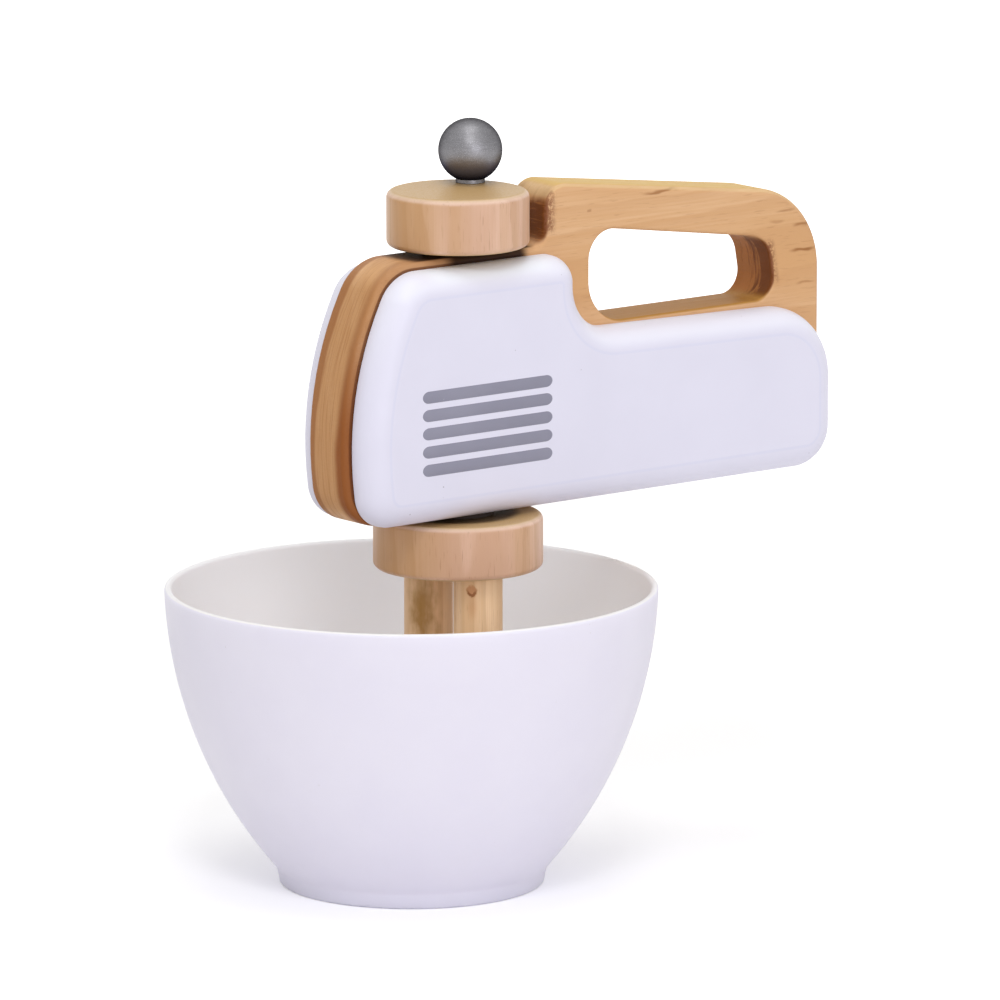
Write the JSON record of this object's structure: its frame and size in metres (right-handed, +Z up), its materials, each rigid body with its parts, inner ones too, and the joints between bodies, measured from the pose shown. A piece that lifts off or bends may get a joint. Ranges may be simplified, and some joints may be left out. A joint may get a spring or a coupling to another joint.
{
  "type": "toy hand mixer",
  "caption": "Wooden toy hand mixer with painted side panels, a loop grip, a crank disc with a ball knob and dowel beaters, standing in its round mixing bowl.",
  "frame": {"origin": "centre of the underside of the bowl's foot, on the surface that it stands on", "axes": "+Z up, along the shaft; +X along the mixer's body from the nose to the grip; the left side panel faces -Y"},
  "size_m": [0.2169, 0.1514, 0.2365],
  "materials": {
    "bowl_plastic": "matte moulded white",
    "board_wood": "clear satin lacquer, grain along the board",
    "panel_paint": "white satin paint over wood",
    "turned_wood": "clear satin lacquer, pale close grain",
    "dowel_wood": "clear satin lacquer, grain along the dowel",
    "knob_paint": "grey speckled paint over wood",
    "washer_fibre": "dark pressed fibre"
  },
  "bodies": {
    "bowl": {"mixing_bowl": "bowl_plastic"},
    "mixer_body": {"handle_board": "board_wood", "left_side_panel": "panel_paint", "right_side_panel": "panel_paint", "disc_washer": "washer_fibre"},
    "crank": {"drive_shaft": "turned_wood", "crank_disc": "turned_wood", "crank_knob": "knob_paint", "head_washer": "washer_fibre", "beater_head": "turned_wood", "left_beater": "dowel_wood", "right_beater": "dowel_wood"}
  },
  "joints": [
    {"name": "lift_out", "type": "slide", "parent": "bowl", "child": "mixer_body", "axis": [0, 0, 1], "range_m": [0, 0.12]},
    {"name": "crank_spin", "type": "hinge", "parent": "mixer_body", "child": "crank", "pos_m": [0.0048, -0.017, 0.16], "axis": [0, 0, 1], "continuous": true}
  ]
}
